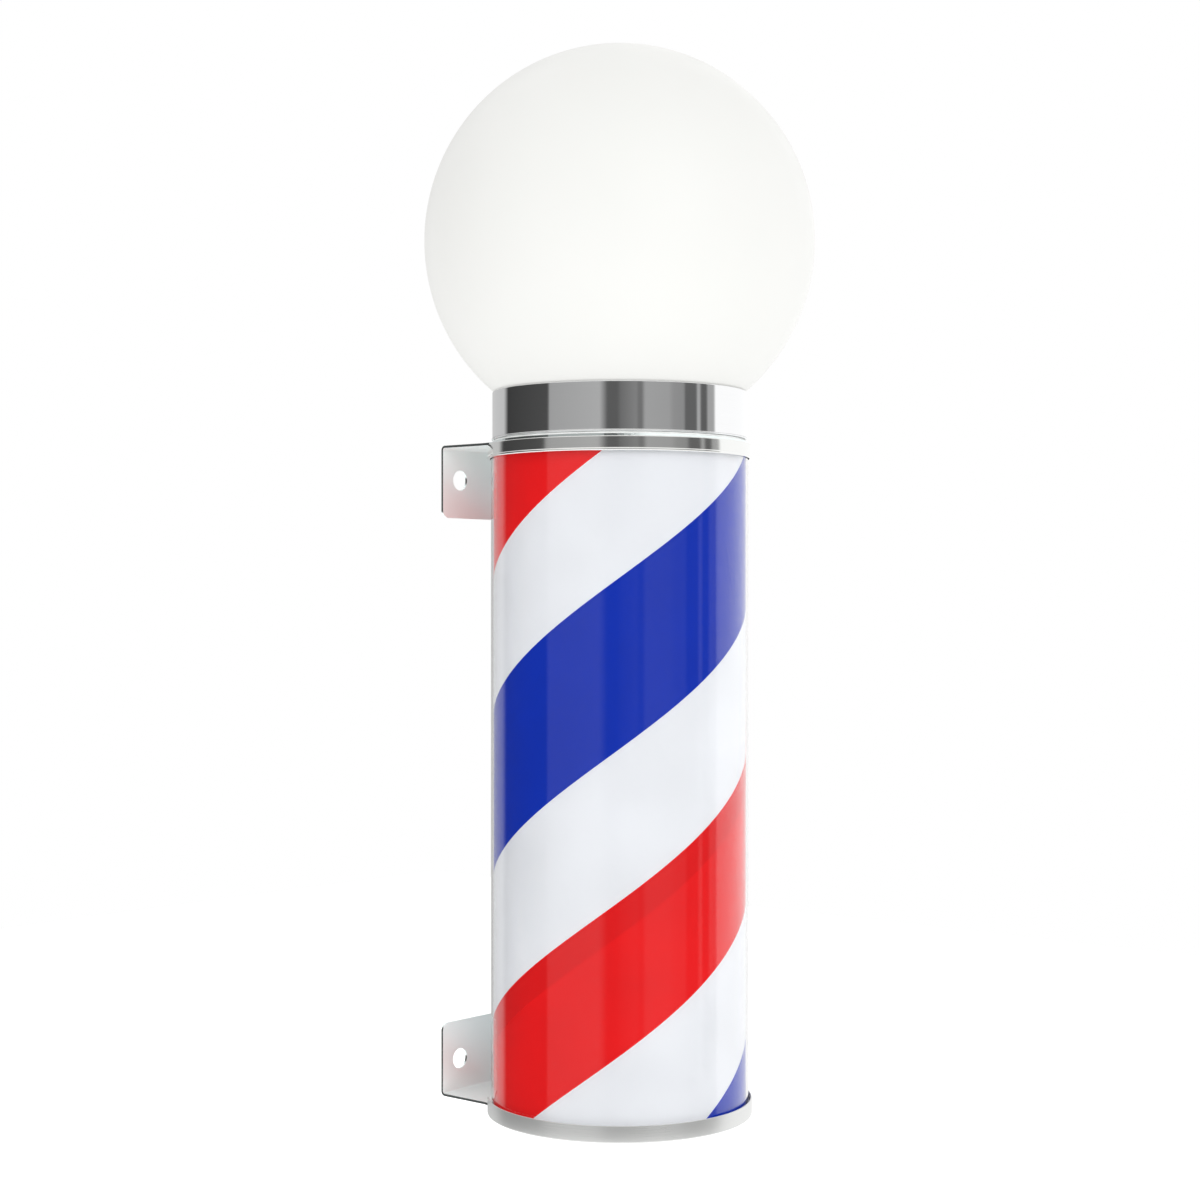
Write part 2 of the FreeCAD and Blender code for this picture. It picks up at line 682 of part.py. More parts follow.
def pivot_screws():
    return screws(PIVOT_SPOTS, UPPER_FACE, M4, UPPER_FACE - CAP_CEILING + PIVOT_FLANGE)


# Power pieces on the deck

def led_driver():
    x, y = DRIVER_SPOT
    top = DECK + DRIVER_HEIGHT
    body = centred_block(DRIVER_SPOT, *DRIVER_BODY, DECK, top, 2.0)
    flange = centred_block(DRIVER_SPOT, *DRIVER_FOOT, DECK, DECK + DRIVER_FLANGE, 3.0)
    ribs = [centred_block((x, y + offset), *DRIVER_RIB, top - 1, top + RIB_HEIGHT)
            for offset in range(-RIB_REACH, RIB_REACH + 1, RIB_SPACING)]
    return drilled(joined([body, flange] + ribs), DRIVER_SPOTS, M3, DECK - 1, DECK + DRIVER_FLANGE + 1)


def driver_screws():
    face = DECK + DRIVER_FLANGE
    return screws(DRIVER_SPOTS, face, M3, screw_reach(face))


def terminal_wells():
    x, y = TERMINAL_SPOT
    return [(x + (index - 1.5) * WELL_PITCH, y) for index in range(4)]


def terminal_block():
    shape = centred_block(TERMINAL_SPOT, *TERMINAL_BODY, DECK, DECK + TERMINAL_HEIGHT, 1.0)
    shape = drilled(shape, terminal_wells(), WELL_RADIUS, TERMINAL_FLOOR, DECK + TERMINAL_HEIGHT + 1)
    for x, y in terminal_wells():
        entry = Part.makeCylinder(ENTRY_RADIUS, 20, V(x, y - 10, DECK + ENTRY_HEIGHT), V(0, 1, 0))
        shape = shape.cut(entry)
    return shape


def terminal_screws():
    """Slotted clamp screws, one down each well."""
    pieces = []
    for x, y in terminal_wells():
        top = TERMINAL_FLOOR + CLAMP_HEIGHT
        head = cylinder(CLAMP_RADIUS, TERMINAL_FLOOR, top, (x, y))
        slot = centred_block((x, y), 6, 0.8, top - 1, top + 1)
        pieces.append(head.cut(slot))
    return Part.makeCompound(pieces)


def cable_grommet():
    """Rubber bush that clips into the pan's floor and the bracket: the cord's way in."""
    body = joined([
        cylinder(GROMMET_LIP, PAN_FLOOR - 1.5, PAN_FLOOR, GROMMET_SPOT),
        cylinder(GROMMET_RADIUS, PAN_FLOOR, DECK, GROMMET_SPOT),
        cylinder(GROMMET_LIP, DECK, DECK + 1.5, GROMMET_SPOT),
    ])
    return body.cut(cylinder(GROMMET_BORE, 0, DECK + 5, GROMMET_SPOT))


def pan_screws():
    return screws(PAN_SPOTS, PAN_FLOOR, M4, 6.0, heads_up=False)


# Rocker switches

def switch_spots():
    return [(SWITCH_X, SWITCH_HALF_SPACING), (SWITCH_X, -SWITCH_HALF_SPACING)]


def switch_body(spot):
    """Housing that clips through the pan and the bracket, open below for its rocker."""
    x, y = spot
    shape = joined([
        centred_block(spot, *SWITCH_BEZEL, PAN_FLOOR - BEZEL, PAN_FLOOR, 1.5),
        centred_block(spot, *SWITCH_BODY, PAN_FLOOR, SWITCH_TOP, 0.8),
    ])
    shape = shape.cut(centred_block(spot, *ROCKER_WELL, 0, ROCKER_WELL_TOP))
    axle = Part.makeCylinder(ROCKER_PIN + RUNNING_FIT, 11, V(x, y - 5.5, ROCKER_PIVOT), V(0, 1, 0))
    return shape.cut(axle)


def rocker(spot):
    """Rocker with a shallow V face, tilted to its off position. Its pins run in the housing."""
    x, y = spot
    body = prism([(-5.8, -4.2), (0, -3.3), (5.8, -4.2), (7.2, -1.5), (7.2, 1.0), (4.5, 2.5),
                  (-4.5, 2.5), (-7.2, 1.0), (-7.2, -1.5)], ROCKER_HALF_WIDTH)
    pins = Part.makeCylinder(ROCKER_PIN, 10.6, V(0, -5.3, 0), V(0, 1, 0))
    shape = body.fuse(pins)
    shape.rotate(V(0, 0, 0), V(0, 1, 0), -ROCKER_TILT)
    shape.translate(V(x, y, ROCKER_PIVOT))
    return shape


def light_switch_body():
    return switch_body(switch_spots()[0])


def motor_switch_body():
    return switch_body(switch_spots()[1])


def light_rocker():
    return rocker(switch_spots()[0])


def motor_rocker():
    return rocker(switch_spots()[1])


def switch_tags():
    """Flat terminals that stand on top of the two housings."""
    tags = []
    for x, y in switch_spots():
        for offset in (-TAG_PITCH, 0, TAG_PITCH):
            tags.append(centred_block((x + offset, y), *TAG, SWITCH_TOP, TAG_TOP))
    return Part.makeCompound(tags)


# Collar and globe

def globe_gasket():
    shape = ring(COLLAR_RADIUS - GASKET_INSET, COLLAR_MOUTH - 1, UPPER_FACE, COLLAR_BOTTOM)
    return drilled(shape, COLLAR_SPOTS, M3, UPPER_FACE - 1, COLLAR_BOTTOM + 1)


def globe_collar():
    """Spun collar: inward flange at the foot, small rounded beads at both edges."""
    inner = COLLAR_RADIUS - COLLAR_WALL
    foot = COLLAR_BOTTOM
    flange_top = foot + COLLAR_FLANGE
    bead_top = foot + 2 * COLLAR_BEAD
    roll = COLLAR_TOP - COLLAR_BEAD
    shape = turned([
        line((COLLAR_MOUTH, foot), (COLLAR_RADIUS, foot)),
        arc((COLLAR_RADIUS, foot), (COLLAR_RADIUS + COLLAR_BEAD, foot + COLLAR_BEAD),
            (COLLAR_RADIUS, bead_top)),
        line((COLLAR_RADIUS, bead_top), (COLLAR_RADIUS, roll)),
        arc((COLLAR_RADIUS, roll), (COLLAR_RADIUS - COLLAR_WALL / 2, COLLAR_TOP), (inner, roll)),
        line((inner, roll), (inner, flange_top)),
        line((inner, flange_top), (COLLAR_MOUTH, flange_top)),
        line((COLLAR_MOUTH, flange_top), (COLLAR_MOUTH, foot)),
    ])
    return drilled(shape, COLLAR_SPOTS, M3, foot - 1, flange_top + 1)


def collar_screws():
    return screws(COLLAR_SPOTS, COLLAR_BOTTOM + COLLAR_FLANGE, M3,
                  COLLAR_BOTTOM + COLLAR_FLANGE - CAP_CEILING + 2.6)


def collar_nuts():
    nuts = []
    for x, y in COLLAR_SPOTS:
        corners = []
        for degrees in range(0, 361, 60):
            angle = math.radians(degrees)
            corners.append(V(x + NUT_RADIUS * math.cos(angle), y + NUT_RADIUS * math.sin(angle),
                             CAP_CEILING - NUT_HEIGHT))
        nut = Part.Face(Part.makePolygon(corners)).extrude(V(0, 0, NUT_HEIGHT))
        nuts.append(nut.cut(cylinder(M3, CAP_CEILING - NUT_HEIGHT - 1, CAP_CEILING + 1, (x, y))))
    return Part.makeCompound(nuts)


def cap_screws():
    return screws(CAP_SPOTS, UPPER_FACE, M4, UPPER_FACE - CAP_CEILING + 3)


def globe_seat():
    """Ledge welded inside the collar."""
    inner = COLLAR_RADIUS - COLLAR_WALL
    skirt = inner - SEAT_SKIRT_SHEET
    under = SEAT_HEIGHT - SEAT_SHEET
    foot = SEAT_HEIGHT - SEAT_SKIRT
    return turned(outline([(SEAT_INNER, under), (skirt, under), (skirt, foot), (inner, foot),
                           (inner, SEAT_HEIGHT), (SEAT_INNER, SEAT_HEIGHT)]))


def globe_pad():
    return ring(PAD_OUTER, PAD_INNER, SEAT_HEIGHT, SEAT_HEIGHT + PAD_HEIGHT)


def globe_clips():
    """Three sprung fingers under the ledge that press on the inside of the neck."""
    low = SEAT_HEIGHT - 1
    finger = prism([(70.8, low - 0.6), (78, low - 0.6), (78, low), (71.4, low), (71.4, low + 7),
                    (72.6, low + 12), (71.2, low + 16), (70.6, low + 15.8), (71.9, low + 12),
                    (70.8, low + 7.1)], CLIP_HALF_WIDTH)
    fingers = []
    for index in range(3):
        copy = finger.copy()
        copy.rotate(V(0, 0, 0), UP, 30 + 120 * index)
        fingers.append(copy)
    return Part.makeCompound(fingers)


def collar_seal():
    """Soft ring that centres the neck in the collar's mouth."""
    return ring(COLLAR_RADIUS - COLLAR_WALL, NECK_RADIUS, SOFT_RING_BOTTOM, SOFT_RING_TOP)


def globe():
    """Blown ball with a straight neck and a thickened lip."""
    foot = SEAT_HEIGHT + PAD_HEIGHT
    inner_radius = GLOBE_RADIUS - GLOBE_WALL
    neck_inner = NECK_RADIUS - GLOBE_WALL
    outer_join = GLOBE_CENTRE - math.sqrt(GLOBE_RADIUS ** 2 - NECK_RADIUS ** 2)
    inner_join = GLOBE_CENTRE - math.sqrt(inner_radius ** 2 - neck_inner ** 2)
    lip = NECK_RADIUS + LIP
    return turned([
        line((neck_inner, foot), (lip, foot)),
        line((lip, foot), (lip, foot + LIP)),
        line((lip, foot + LIP), (NECK_RADIUS, foot + LIP_TAPER)),
        line((NECK_RADIUS, foot + LIP_TAPER), (NECK_RADIUS, outer_join)),
        arc((NECK_RADIUS, outer_join), (GLOBE_RADIUS, GLOBE_CENTRE), (0, GLOBE_CENTRE + GLOBE_RADIUS)),
        line((0, GLOBE_CENTRE + GLOBE_RADIUS), (0, GLOBE_CENTRE + inner_radius)),
        arc((0, GLOBE_CENTRE + inner_radius), (inner_radius, GLOBE_CENTRE), (neck_inner, inner_join)),
        line((neck_inner, inner_join), (neck_inner, foot)),
    ])


# Lamp

def lamp_bridge():
    """Folded strip that carries the lamp holder over the screws."""
    top = BRIDGE_TOP
    under = top - BRIDGE_SHEET
    foot = UPPER_FACE
    inside = BRIDGE_HALF_SPAN
    outside = inside + BRIDGE_SHEET
    end = BRIDGE_HALF_LENGTH
    flap = foot + BRIDGE_SHEET
    shape = prism([(-end, foot), (-inside, foot), (-inside, under), (inside, under), (inside, foot),
                   (end, foot), (end, flap), (outside, flap), (outside, top), (-outside, top),
                   (-outside, flap), (-end, flap)], BRIDGE_HALF_WIDTH)
    shape = drilled(shape, BRIDGE_SPOTS, M4, foot - 1, foot + 2)
    shape = drilled(shape, HOLDER_SPOTS, M3, under - 1, top + 1)
    return drilled(shape, [(0, 0)], BRIDGE_WAY, under - 1, top + 1)


def lamp_screws():
    feet = screws(BRIDGE_SPOTS, UPPER_FACE + BRIDGE_SHEET, M4, UPPER_FACE + BRIDGE_SHEET - CAP_CEILING + 2)
    holder = screws(HOLDER_SPOTS, BRIDGE_TOP - BRIDGE_SHEET, M3, BRIDGE_SHEET + 4, heads_up=False)
    return Part.makeCompound(feet.Solids + holder.Solids)


def lamp_holder():
    shape = joined([
        cylinder(HOLDER_BASE, BRIDGE_TOP, HOLDER_STEP),
        cylinder(HOLDER_RADIUS, HOLDER_STEP - 1, HOLDER_TAPER),
        Part.makeCone(HOLDER_RADIUS, HOLDER_RIM, HOLDER_TOP - HOLDER_TAPER, V(0, 0, HOLDER_TAPER)),
    ])
    shape = shape.cut(cylinder(THREAD_CREST + 0.6, SHELL_LOW - 2, HOLDER_TOP + 1))
    return drilled(shape, HOLDER_SPOTS, M3, BRIDGE_TOP - 1, BRIDGE_TOP + 4)


def bulb_base():
    """Screw shell with rounded threads and an end contact."""
    low = SHELL_LOW
    edges = [line((0, SHELL_TOP), (0, low - 2)), line((0, low - 2), (4.5, low - 2)),
             line((4.5, low - 2), (THREAD_ROOT, low))]
    for index in range(THREAD_TURNS):
        start = low + index * THREAD_PITCH
        edges.append(arc((THREAD_ROOT, start), (THREAD_CREST, start + THREAD_PITCH / 2),
                         (THREAD_ROOT, start + THREAD_PITCH)))
    edges.append(line((THREAD_ROOT, low + THREAD_TURNS * THREAD_PITCH), (THREAD_CREST - 0.2, SHELL_TOP)))
    edges.append(line((THREAD_CREST - 0.2, SHELL_TOP), (0, SHELL_TOP)))
    return turned(edges)


def bulb_body():
    """Tapered housing between the screw shell and the light dome."""
    shoulder = SHELL_TOP + BULB_NECK_HEIGHT
    foot_radius, top_radius = BULB_NECK
    return turned([
        line((0, SHELL_TOP), (foot_radius, SHELL_TOP)),
        line((foot_radius, SHELL_TOP), (top_radius, shoulder)),
        arc((top_radius, shoulder), BULB_WAIST, (BULB_RADIUS - 1, DOME_BOTTOM)),
        line((BULB_RADIUS - 1, DOME_BOTTOM), (0, DOME_BOTTOM)),
        line((0, DOME_BOTTOM), (0, SHELL_TOP)),
    ])


def bulb_diffuser():
    centre = DOME_CENTRE
    neck = math.sqrt(BULB_RADIUS ** 2 - (centre - DOME_BOTTOM) ** 2)
    return turned([
        line((0, DOME_BOTTOM), (neck, DOME_BOTTOM)),
        arc((neck, DOME_BOTTOM), (BULB_RADIUS, centre), (0, centre + BULB_RADIUS)),
        line((0, centre + BULB_RADIUS), (0, DOME_BOTTOM)),
    ])


def lamp_wires():
    """Two insulated conductors that rise through the column to the lamp holder."""
    return Part.makeCompound([cylinder(WIRE_RADIUS, DECK + 0.5, BRIDGE_TOP, (x, 0))
                               for x in (-WIRE_OFFSET, WIRE_OFFSET)])


PIECES = [
    globe, globe_collar, globe_gasket, globe_seat, globe_pad, globe_clips, collar_seal, collar_screws,
    collar_nuts, lamp_bridge, lamp_screws, lamp_holder, bulb_base, bulb_body, bulb_diffuser, lamp_wires,
    upper_bracket, top_cap, cap_screws, upper_seal, top_pivot, pivot_screws, outer_tube, lower_seal,
    lower_bracket, bottom_cap, pan_screws, column_foot, foot_screws, thrust_washer, led_column, led_strips,
    led_chips, gear_motor, motor_spacers, motor_screws, led_driver, driver_screws, terminal_block,
    terminal_screws, cable_grommet, light_switch_body, motor_switch_body, switch_tags, light_rocker,
    motor_rocker, drum_film, lower_hoop, lower_spider, drive_gear, gear_screws, upper_spider,
    motor_pinion, motor_shaft,
]


def deliver(piece):
    """Build one piece, move it into the shared frame and write its file."""
    shape = piece()
    shape.translate(V(0, -WALL_DISTANCE, -HOLE_MIDDLE))
    shape.exportStep(os.path.join("parts", piece.__name__ + ".step"))


os.makedirs("parts", exist_ok=True)
for each_piece in PIECES:
    deliver(each_piece)
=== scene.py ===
"""Looks of the wall-held barber pole light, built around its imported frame. Metres."""
import json
import math

import bmesh
import bpy
from mathutils import Matrix, Vector


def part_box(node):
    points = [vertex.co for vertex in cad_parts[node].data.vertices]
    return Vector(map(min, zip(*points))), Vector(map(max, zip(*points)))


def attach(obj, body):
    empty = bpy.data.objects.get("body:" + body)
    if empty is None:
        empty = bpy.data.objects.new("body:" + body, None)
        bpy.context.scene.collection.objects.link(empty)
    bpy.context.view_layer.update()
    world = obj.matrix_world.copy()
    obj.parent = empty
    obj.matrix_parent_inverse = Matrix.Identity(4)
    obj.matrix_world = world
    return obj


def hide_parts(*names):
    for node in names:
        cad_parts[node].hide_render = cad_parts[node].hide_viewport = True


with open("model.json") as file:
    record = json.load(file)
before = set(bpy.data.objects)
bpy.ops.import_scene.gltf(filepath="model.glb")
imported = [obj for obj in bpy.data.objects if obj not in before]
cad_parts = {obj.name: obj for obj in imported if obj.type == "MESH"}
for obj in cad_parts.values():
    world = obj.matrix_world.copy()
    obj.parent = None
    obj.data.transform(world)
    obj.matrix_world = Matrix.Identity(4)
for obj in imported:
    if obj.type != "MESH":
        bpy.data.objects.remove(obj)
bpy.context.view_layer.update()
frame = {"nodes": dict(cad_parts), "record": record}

RECORD = frame["record"]
BODY_OF = {node: body for body, nodes in RECORD["behaviour"]["bodies"].items() for node in nodes}
SLOT_OF = {part["node"]: part["material_slot"] for part in RECORD["subparts"]}

MM = 0.001
SEGMENTS = 240                  # round a spun piece
TUBE_SEGMENTS = 320             # round the tube and the film
SMOOTH_DEGREES = 32.0           # edges that turn by more than this stay sharp

DRUM_JOINT = next(joint for joint in RECORD["behaviour"]["joints"] if joint["name"] == "drum_spin")
AXIS = Vector((DRUM_JOINT["pos_m"][0], DRUM_JOINT["pos_m"][1], 0))
PAN_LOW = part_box("bottom_cap")[0].z


def radius_of(node):
    """Largest radius about the pole's axis that stays inside the node's box."""
    low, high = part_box(node)
    return min(high.x - AXIS.x, AXIS.x - low.x)


def heights_of(node):
    """Lowest and highest point of the node's box."""
    low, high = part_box(node)
    return low.z, high.z


# ---------------------------------------------------------------- camera, light and surroundings

FOCAL_WIDTHS = 1.801            # focal length over the picture's width
CAMERA_DISTANCE = 1.3875        # from the pole's axis
CAMERA_HEIGHT = 0.1084
CAMERA_AZIMUTH = math.radians(-50.2)
AIM_LEFT = math.radians(0.52)   # off the line to the pole's axis
AIM_UP = math.radians(0.12)
TOWARDS_CAMERA = Vector((math.sin(CAMERA_AZIMUTH), -math.cos(CAMERA_AZIMUTH), 0))


def add_camera():
    """Camera in front of the pole and to its left, where the photographer stood."""
    data = bpy.data.cameras.new("camera")
    data.sensor_width = 36.0
    data.lens = FOCAL_WIDTHS * data.sensor_width
    data.clip_start = 0.01
    camera = bpy.data.objects.new("camera", data)
    bpy.context.scene.collection.objects.link(camera)
    camera.location = AXIS + TOWARDS_CAMERA * CAMERA_DISTANCE + Vector((0, 0, CAMERA_HEIGHT))
    camera.rotation_euler = (math.pi / 2 + AIM_UP, 0, CAMERA_AZIMUTH + AIM_LEFT)
    bpy.context.scene.camera = camera


class Graph:
    """A node tree with short calls for adding and joining nodes."""

    def __init__(self, tree):
        self.tree = tree

    def put(self, kind, inputs=None, **settings):
        """Adds a node. inputs go to its sockets, settings to its properties."""
        node = self.tree.nodes.new("ShaderNode" + kind)
        for key, value in settings.items():
            setattr(node, key, value)
        for socket, value in (inputs or {}).items():
            self.set(node, socket, value)
        return node

    def set(self, node, socket, value):
        """Joins a socket to another node's output, or gives it a constant."""
        if isinstance(value, bpy.types.NodeSocket):
            self.tree.links.new(value, node.inputs[socket])
        else:
            node.inputs[socket].default_value = value

    def math(self, operation, a, b=0.0, c=0.0):
        return self.put("Math", {0: a, 1: b, 2: c}, operation=operation).outputs[0]

    def mix(self, factor, a, b):
        """Colour between a and b."""
        return self.put("Mix", {0: factor, 6: a, 7: b}, data_type="RGBA").outputs[2]

    def ramp(self, factor, stops, interpolation="LINEAR"):
        """Colour ramp with the given (place, colour) stops."""
        node = self.put("ValToRGB", {0: factor})
        node.color_ramp.interpolation = interpolation
        elements = node.color_ramp.elements
        while len(elements) < len(stops):
            elements.new(0.5)
        for element, (place, colour) in zip(elements, stops):
            element.position = place
            element.color = colour
        return node.outputs[0]

    def range(self, value, low, high, new_low, new_high):
        """Value carried from low..high to new_low..new_high, and held inside it."""
        return self.put("MapRange", {0: value, 1: low, 2: high, 3: new_low, 4: new_high}).outputs[0]

    def noise(self, vector, scale, detail=2.0, roughness=0.5):
        return self.put("TexNoise", {"Vector": vector, "Scale": scale, "Detail": detail,
                                     "Roughness": roughness}).outputs[0]


def grey(value):
    return (value, value, value, 1.0)


# Screens and dark panels that stand round the pole: bearing of each one's left and right edge in degrees
# to the right of the camera, and its brightness at each edge
PANELS = [
    (-180, -129, 0.62, 0.56),   # rear screen, left part
    (-121, -68, 0.048, 0.075),  # black flag on the left
    (-66, -18, 0.37, 0.44),     # grey wall
    (-11, -2, 0.11, 0.11),      # the photographer's stand
    (1, 15, 0.16, 0.24),
    (17, 20, 0.18, 0.18),
    (23, 45, 0.38, 0.36),       # grey wall, right part
    (50, 60, 0.30, 0.28),
    (62, 73, 0.13, 0.13),       # flag with a slit
    (75, 77, 0.42, 0.42),
    (79, 85, 0.12, 0.12),
    (87, 94, 0.38, 0.40),
    (97, 180, 1.08, 1.08),      # rear screen, right part
]
OVERHEAD = 1.15
OVERHEAD_FROM, OVERHEAD_FULL = 0.35, 0.75       # Z of a direction where the ceiling fades in
UNDERFOOT = 1.15
UNDERFOOT_FULL, UNDERFOOT_FROM = -0.5, -0.23    # and the floor
AMBIENT = 1.0                   # even light of the white room on everything that isn't a mirror

# Soft lights: name, bearing in degrees to the right of the camera, distance, height, size and watts
LIGHTS = [
    ("key", 25, 2.2, 1.0, (1.6, 1.6), 20.5),
    ("fill", -50, 2.2, 0.4, (1.2, 1.8), 4.5),
]
LIGHT_AIM_HEIGHT = 0.05

FLOOR_HALF_WIDTH = 6.0
FLOOR_DROP = 0.9                # below the pan
FLOOR_GLOW = 0.55


def add_world():
    """White backdrop to the eye. Mirrors and glass see the studio: screens and dark panels."""
    world = bpy.data.worlds.new("studio")
    bpy.context.scene.world = world
    world.use_nodes = True
    graph = Graph(world.node_tree)
    direction = graph.put("TexCoord").outputs["Generated"]
    parts = graph.put("SeparateXYZ", {0: direction}).outputs
    bearing = graph.math("ARCTAN2", parts[1], parts[0])
    camera_bearing = math.atan2(TOWARDS_CAMERA.y, TOWARDS_CAMERA.x)
    turned = graph.math("SUBTRACT", bearing, camera_bearing)
    wrapped = graph.math("WRAP", turned, math.pi, -math.pi)
    place = graph.range(wrapped, -math.pi, math.pi, 0.0, 1.0)
    stops = []
    for left, right, at_left, at_right in PANELS:
        stops.append(((left + 180) / 360, grey(at_left)))
        stops.append(((right + 180) / 360, grey(at_right)))
    bands = graph.ramp(place, stops)
    above = graph.range(parts[2], OVERHEAD_FROM, OVERHEAD_FULL, 0.0, 1.0)
    with_top = graph.mix(above, bands, grey(OVERHEAD))
    below = graph.range(parts[2], UNDERFOOT_FULL, UNDERFOOT_FROM, 1.0, 0.0)
    seen = graph.mix(below, with_top, grey(UNDERFOOT))
    background = world.node_tree.nodes["Background"]
    path = graph.put("LightPath").outputs
    mirrored = graph.math("MAXIMUM", path["Is Glossy Ray"], path["Is Transmission Ray"])
    lit = graph.mix(mirrored, grey(AMBIENT), seen)
    graph.set(background, 0, graph.mix(path["Is Camera Ray"], lit, grey(1.0)))
    graph.set(background, 1, 1.0)


def add_area_light(name, bearing, distance, height, size, watts):
    """Soft light aimed at the pole's axis. No mirror, glass or camera sees it."""
    data = bpy.data.lights.new(name, "AREA")
    data.shape = "RECTANGLE"
    data.size, data.size_y = size
    data.energy = watts
    light = bpy.data.objects.new(name, data)
    bpy.context.scene.collection.objects.link(light)
    angle = math.atan2(TOWARDS_CAMERA.y, TOWARDS_CAMERA.x) + math.radians(bearing)
    light.location = AXIS + Vector((math.cos(angle) * distance, math.sin(angle) * distance, height))
    aim = AXIS + Vector((0, 0, LIGHT_AIM_HEIGHT)) - light.location
    light.rotation_euler = aim.to_track_quat("-Z", "Y").to_euler()
    light.visible_glossy = False
    light.visible_transmission = False
    light.visible_camera = False


def add_floor():
    """White floor far below, which belongs to the stage and not to the object."""
    mesh = bpy.data.meshes.new("floor")
    half, low = FLOOR_HALF_WIDTH, PAN_LOW - FLOOR_DROP
    corners = [(-half, -half, low), (half, -half, low), (half, half, low), (-half, half, low)]
    mesh.from_pydata(corners, [], [(0, 1, 2, 3)])
    floor = bpy.data.objects.new("floor", mesh)
    bpy.context.scene.collection.objects.link(floor)
    material = bpy.data.materials.new("floor_white")
    material.use_nodes = True
    graph = Graph(material.node_tree)
    shader = material.node_tree.nodes["Principled BSDF"]
    place = graph.put("TexCoord").outputs["Object"]
    mottle = graph.noise(place, 3.0)
    graph.set(shader, "Base Color", graph.mix(mottle, grey(0.88), grey(0.93)))
    graph.set(shader, "Roughness", 0.9)
    graph.set(shader, "Emission Color", grey(1.0))
    graph.set(shader, "Emission Strength", FLOOR_GLOW)
    mesh.materials.append(material)
    floor.visible_glossy = False
    floor.visible_transmission = False


# ---------------------------------------------------------------- materials

class Look(Graph):
    """One procedural material. Values are set straight on the shader's sockets."""

    def __init__(self, name, **values):
        self.material = bpy.data.materials.new(name)
        self.material.use_nodes = True
        super().__init__(self.material.node_tree)
        self.shader = self.material.node_tree.nodes["Principled BSDF"]
        for socket, value in values.items():
            self.set(self.shader, socket.replace("_", " "), value)
        self.place = self.put("TexCoord").outputs["Object"]

    def give(self, socket, value):
        self.set(self.shader, socket, value)

    def about_pole(self):
        """Radius, angle and height of a point about the pole's axis."""
        parts = self.put("SeparateXYZ", {0: self.place}).outputs
        x = self.math("SUBTRACT", parts[0], AXIS.x)
        y = self.math("SUBTRACT", parts[1], AXIS.y)
        squares = self.math("ADD", self.math("MULTIPLY", x, x), self.math("MULTIPLY", y, y))
        return self.math("SQRT", squares), self.math("ARCTAN2", y, x), parts[2]

    def vector(self, x, y, z):
        return self.put("CombineXYZ", {0: x, 1: y, 2: z}).outputs[0]

    def bump(self, height, strength, distance):
        node = self.put("Bump", {"Height": height, "Strength": strength, "Distance": distance})
        self.give("Normal", node.outputs[0])


def tone(colour, factor):
    """The colour made lighter or darker, as RGBA."""
    return tuple(min(1.0, channel * factor) for channel in colour[:3]) + (1.0,)


def plastic_look(name, colour, roughness, grain=900.0, depth=0.00003):
    """Moulded plastic: fine spark texture and a slight unevenness of colour and gloss."""
    look = Look(name)
    cloud = look.noise(look.place, 40.0)
    look.give("Base Color", look.mix(cloud, tone(colour, 0.94), tone(colour, 1.05)))
    look.give("Roughness", look.range(look.noise(look.place, 160.0), 0.3, 0.7, roughness * 0.85,
                                      roughness * 1.2))
    look.bump(look.noise(look.place, grain, 3.0), 0.35, depth)
    return look.material


def rubber_look(name, colour):
    """Rubber or silicone: matt, a little dusty, with a fine grain."""
    look = Look(name)
    dust = look.noise(look.place, 120.0, 4.0)
    look.give("Base Color", look.mix(dust, tone(colour, 0.8), tone(colour, 1.35)))
    look.give("Roughness", look.range(dust, 0.3, 0.7, 0.62, 0.82))
    look.bump(look.noise(look.place, 1400.0, 3.0), 0.4, 0.00004)
    return look.material


def metal_look(name, colour, low, high, stretch, depth, smudges=0.0):
    """Metal with fine drawn lines. stretch scales the grain along X, Y and Z."""
    look = Look(name, Metallic=1.0)
    grain_place = look.put("Mapping", {0: look.place, 3: stretch}).outputs[0]
    grain = look.noise(grain_place, 60.0, 4.0, 0.6)
    smear = look.noise(look.place, 14.0, 3.0)
    look.give("Base Color", look.mix(grain, tone(colour, 0.93), tone(colour, 1.04)))
    gloss = look.range(grain, 0.25, 0.75, low, high)
    look.give("Roughness", look.math("ADD", gloss, look.range(smear, 0.45, 0.75, 0.0, smudges)))
    look.bump(grain, 0.25, depth)
    return look.material


def bracket_look():
    """Bead-blasted sheet: matt and pale, with faint rolling lines and marks. Cut edges that face sideways
    are bright metal."""
    look = Look("bracket_steel")
    rolled = look.put("Mapping", {0: look.place, 3: (1, 6, 30)}).outputs[0]
    grain = look.noise(rolled, 60.0, 4.0, 0.6)
    smear = look.noise(look.place, 22.0, 3.0)
    sideways = look.put("SeparateXYZ", {0: look.put("TexCoord").outputs["Normal"]}).outputs[0]
    edge = look.range(look.math("ABSOLUTE", sideways), 0.6, 0.8, 0.0, 1.0)
    blasted = look.math("ADD", look.range(grain, 0.25, 0.75, 0.32, 0.44),
                        look.range(smear, 0.45, 0.75, 0.0, 0.08))
    look.give("Base Color", look.mix(smear, (0.86, 0.94, 0.93, 1), (0.93, 0.99, 0.98, 1)))
    look.give("Metallic", look.range(edge, 0.0, 1.0, 0.18, 1.0))
    look.give("Roughness", look.math("MULTIPLY", blasted, look.range(edge, 0.0, 1.0, 1.0, 0.3)))
    look.bump(grain, 0.12, 0.000006)
    return look.material


